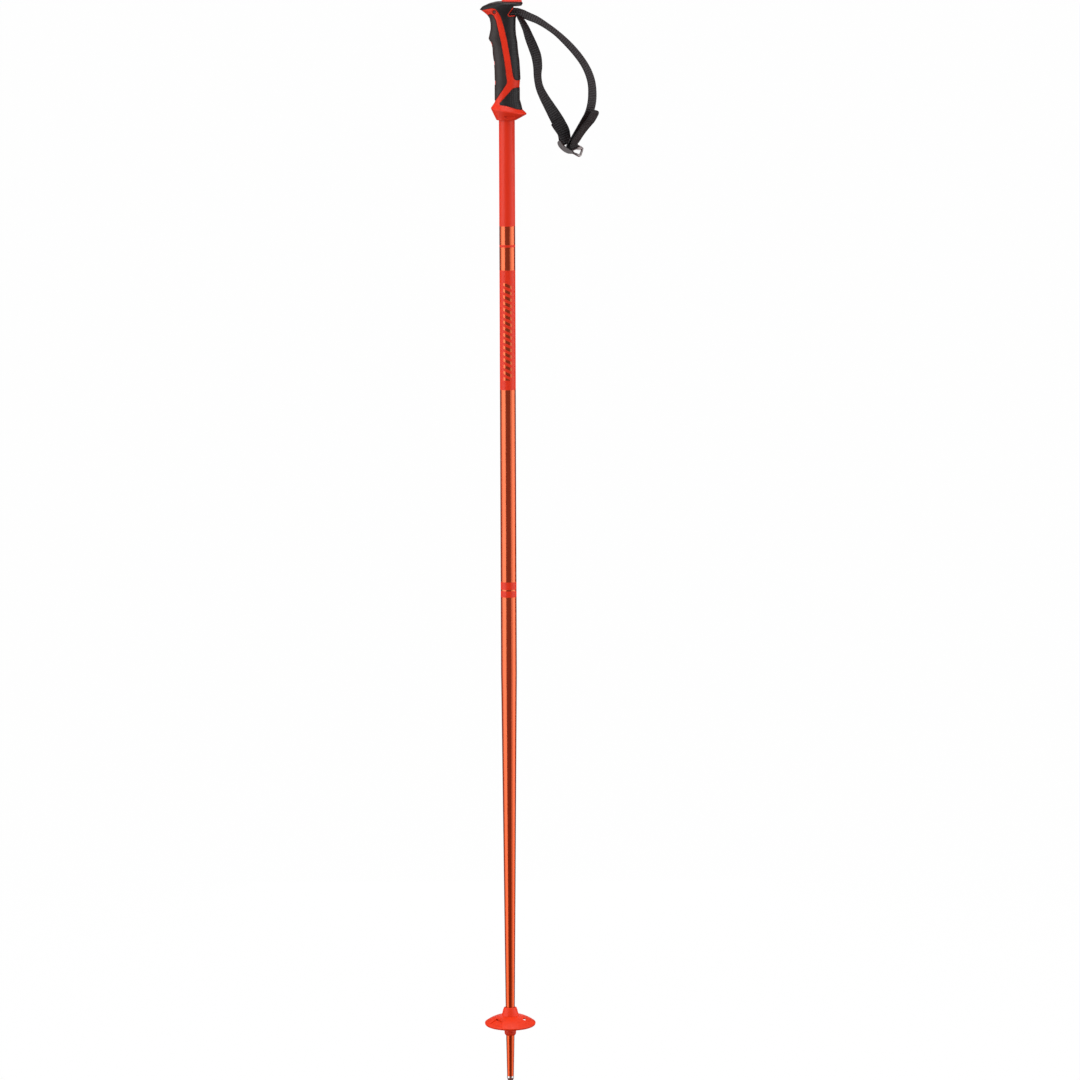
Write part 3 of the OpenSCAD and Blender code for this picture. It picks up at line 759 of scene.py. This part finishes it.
def add_strap():
    ribbed = webbing_material("ribbed_webbing", 1.0)
    plain = webbing_material("tail_webbing", 0.35)
    long_route, turn_route, tail_route, fold = strap_routes()
    strap = ribbon("strap_webbing", long_route, ribbed)
    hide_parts("strap_root", "strap_outer_run", "strap_inner_run", "strap_fold")
    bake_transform(strap)
    turn = ribbon("strap_adjuster_turn", turn_route, ribbed)
    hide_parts("strap_turn")
    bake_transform(turn)
    tail = ribbon("strap_tail_webbing", tail_route, plain, ribs=0.3, round_end=TAIL_END_R)
    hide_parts("strap_tail")
    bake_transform(tail)
    stitches("sewn_thread", fold, thread_material())


# ---------------------------------------------------------------- basket
# In mm. The disc is tilted, and the collar and hub are in line with the tube
BASKET_Z = 76.5
BASKET_TILT = 5.5
BASKET_R = 29.0
BASKET_WALL = 2.0
DOME_H, DOME_POWER = 9.5, 2.3
DISC_INNER_R, TUBE_R = 6.0, 5.4
COLLAR = [(5.2, -14.8), (6.5, -13), (7.2, -0.6), (9.8, 8), (9.1, 11), (8.3, 14.4), (7.1, 17.8)]
COLLAR_BORE = [(5.25, 17.8), (4.82, -14.8)]
HOLE, HOLE_R, HOLE_TILT = (16.2, -7.8, 5.5), 1.75, 54
GROOVE = [(-15.6, -8), (-9, -17)]
GROOVE_HALF_W, GROOVE_DEPTH = 0.7, 1.75
PANEL = [(-15.4, -8.4), (-9.2, -16.8), (-9.8, -26.8), (-24.2, -13.6)]
PANEL_DROPS = (0.95, 0.95, -0.06, -0.06)  # deep along the groove, running out to the dome's surface
CUT_TOP = 9  # how far the groove's and the panel's cutters reach up
HOLE_CUT = 8  # and the hole's cutter, both ways
CORE_CUT = 30
CORNER_STEPS = 5
LATHE_SIDES = 200
SHARP_ANGLE = math.radians(28)


def dome(x, y=0.0):
    return DOME_H * (1 - (math.hypot(x, y) / BASKET_R) ** DOME_POWER)


def eased(outline, reach):
    """The closed outline with every corner rounded off."""
    p = np.array(outline, float)
    rounded = []
    for before, corner, after in zip(np.roll(p, 1, axis=0), p, np.roll(p, -1, axis=0)):
        into, out = before - corner, after - corner
        a = corner + into * min(reach / np.linalg.norm(into), 0.45)
        b = corner + out * min(reach / np.linalg.norm(out), 0.45)
        for t in np.linspace(0, 1, CORNER_STEPS):
            rounded.append((1 - t) ** 2 * a + 2 * t * (1 - t) * corner + t ** 2 * b)
    return np.array(rounded)


def solid_object(name, verts, faces):
    mesh = bpy.data.meshes.new(name)
    mesh.from_pydata([tuple(v) for v in verts], [], faces)
    mesh.update()
    body = bpy.data.objects.new(name, mesh)
    bpy.context.scene.collection.objects.link(body)
    return body


def lathe(name, outline):
    """A closed (radius, height) outline turned about Z."""
    count = len(outline)
    verts, faces = [], []
    for k in range(LATHE_SIDES):
        a = 2 * math.pi * k / LATHE_SIDES
        verts += [(r * math.cos(a), r * math.sin(a), z) for r, z in outline]
        n = (k + 1) % LATHE_SIDES
        faces += [(k * count + i, n * count + i, n * count + (i + 1) % count, k * count + (i + 1) % count)
                  for i in range(count)]
    return solid_object(name, verts, faces)


def prism(name, bottom, top):
    """A solid between two rings of corners, one above the other."""
    n = len(bottom)
    sides = [(i, (i + 1) % n, n + (i + 1) % n, n + i) for i in range(n)]
    ends = [tuple(range(n))[::-1], tuple(range(n, 2 * n))]
    return solid_object(name, [*bottom, *top], ends + sides)


def turn_faces_out(body):
    work = bmesh.new()
    work.from_mesh(body.data)
    bmesh.ops.recalc_face_normals(work, faces=work.faces)
    work.to_mesh(body.data)
    work.free()


def combine(body, other, operation):
    """Joins or cuts body with other, and drops other."""
    for solid in (body, other):
        turn_faces_out(solid)
    cut = body.modifiers.new(operation, "BOOLEAN")
    cut.operation = operation
    cut.object = other
    cut.solver = "EXACT"
    mesh = bpy.data.meshes.new_from_object(body.evaluated_get(bpy.context.evaluated_depsgraph_get()))
    body.modifiers.clear()
    body.data = mesh
    bpy.data.objects.remove(other)


def dished_disc():
    """The disc with an even wall and a rounded rim."""
    upper = [(r, dome(r)) for r in np.linspace(DISC_INNER_R, BASKET_R, 48)]
    lower = [(max(r - 0.6, DISC_INNER_R - 0.1), z - BASKET_WALL) for r, z in upper[::-1]]
    edge = [(BASKET_R, 0.05), (BASKET_R - 0.1, -0.9), (BASKET_R - 0.6, -2)]
    rim = eased([upper[-2], *edge, lower[1]], 0.45)[CORNER_STEPS:-CORNER_STEPS]
    return lathe("disc", upper[:-1] + [tuple(p) for p in rim] + lower[1:])


def hole_cutter():
    tilt = math.radians(HOLE_TILT)
    up = Vector((0, -math.sin(tilt), math.cos(tilt)))
    side = Vector((1, 0, 0))
    fore = up.cross(side)
    ring = [2 * math.pi * k / 48 for k in range(48)]
    spot = [Vector(HOLE) + HOLE_R * (math.cos(a) * side + math.sin(a) * fore) for a in ring]
    return prism("hole", [v - HOLE_CUT * up for v in spot], [v + HOLE_CUT * up for v in spot])


def groove_cutter():
    start, end = (Vector(p) for p in GROOVE)
    run = (end - start).normalized()
    across = Vector((run.y, -run.x)) * GROOVE_HALF_W
    floor = dome(*GROOVE[0]) - GROOVE_DEPTH
    slot = [start + across, end + across, end - across, start - across]
    return prism("groove", [(*v, floor) for v in slot], [(*v, floor + CUT_TOP) for v in slot])


def panel_cutter():
    low = [(x, y, dome(x, y) - drop) for (x, y), drop in zip(PANEL, PANEL_DROPS)]
    return prism("panel", low, [(x, y, z + CUT_TOP) for x, y, z in low])


def add_basket(material):
    disc = dished_disc()
    for cutter in (hole_cutter(), groove_cutter(), panel_cutter()):
        combine(disc, cutter, "DIFFERENCE")
    disc.data.transform(Matrix.Rotation(math.radians(BASKET_TILT), 4, "X"))
    core = [(0.5, CORE_CUT), (TUBE_R, CORE_CUT), (TUBE_R, -CORE_CUT), (0.5, -CORE_CUT)]
    combine(disc, lathe("core", core), "DIFFERENCE")
    collar = eased(COLLAR + COLLAR_BORE, 0.7)
    combine(disc, lathe("collar", [tuple(p) for p in collar]), "UNION")
    disc.data.transform(Matrix.Translation((0, 0, BASKET_Z)))
    disc.data.transform(Matrix.Scale(MM, 4))
    mesh = disc.data
    bpy.data.objects.remove(disc)
    mesh.polygons.foreach_set("use_smooth", [True] * len(mesh.polygons))
    mesh.set_sharp_from_angle(angle=SHARP_ANGLE)
    add_piece("basket_moulding", mesh, material, "basket", ["basket"])


# ---------------------------------------------------------------- the pole
GRIP_RED = (0.84, 0.03, 0.006)
BASKET_RED = (0.88, 0.036, 0.003)
CAP_RED = (0.8, 0.045, 0.025)
PAD_BLACK = (0.0115, 0.013, 0.014)
FINGER_GREY = (0.026, 0.0215, 0.0205)
LEVER_SWELL = 0.5  # mm
LEVER_START, LEVER_EASE = -9.6, 1.5  # mm across the buckle


def rounder_lever(points, normals):
    """Fills out the flat looped lever into a round wire."""
    across = (points - BUCKLE_POS) @ CROSS_DIR
    swell = LEVER_SWELL * np.clip((LEVER_START - across) / LEVER_EASE, 0, 1)
    return points + normals * swell[:, None]


def add_pole():
    paint_node("shaft", shaft_material())
    paint_node("steel_tip", steel_material())
    paint_node("tip_core", carbide_material())
    paint_node("strap_anchor_pin", steel_material())
    add_basket(red_plastic("basket_red", BASKET_RED, 0.42))
    grip_red = red_plastic("grip_red", GRIP_RED, 0.4)
    cap_red = red_plastic("cap_red", CAP_RED, 0.34)
    palm = rubber("palm_rubber", PAD_BLACK, 0.44, dots_on=(1164, 1212, 6.5))
    heel = rubber("heel_rubber", PAD_BLACK, 0.46, dots_on=(1126, 1149, 2.0))
    finger = rubber("finger_rubber", FINGER_GREY, 0.5)
    moulded("grip_core", "grip_chassis", grip_red, voxel=0.45, rounds=6)
    moulded("palm_pad", "palm_rubber_pad", palm, voxel=0.38, rounds=6)
    moulded("heel_pad", "heel_rubber_pad", heel, voxel=0.25, rounds=8)
    moulded("finger_pad", "finger_rubber_pad", finger, voxel=0.38, rounds=6)
    moulded("top_cap", "head_cap", cap_red, voxel=0.3, rounds=8)
    moulded("buckle_frame", "ladder_buckle", gunmetal_material(), voxel=0.2, rounds=5,
            shape=rounder_lever)


add_camera()
add_studio()
add_world()
add_floor()
add_pole()
add_strap()
bpy.context.scene.view_settings.view_transform = "Standard"
bpy.context.view_layer.update()
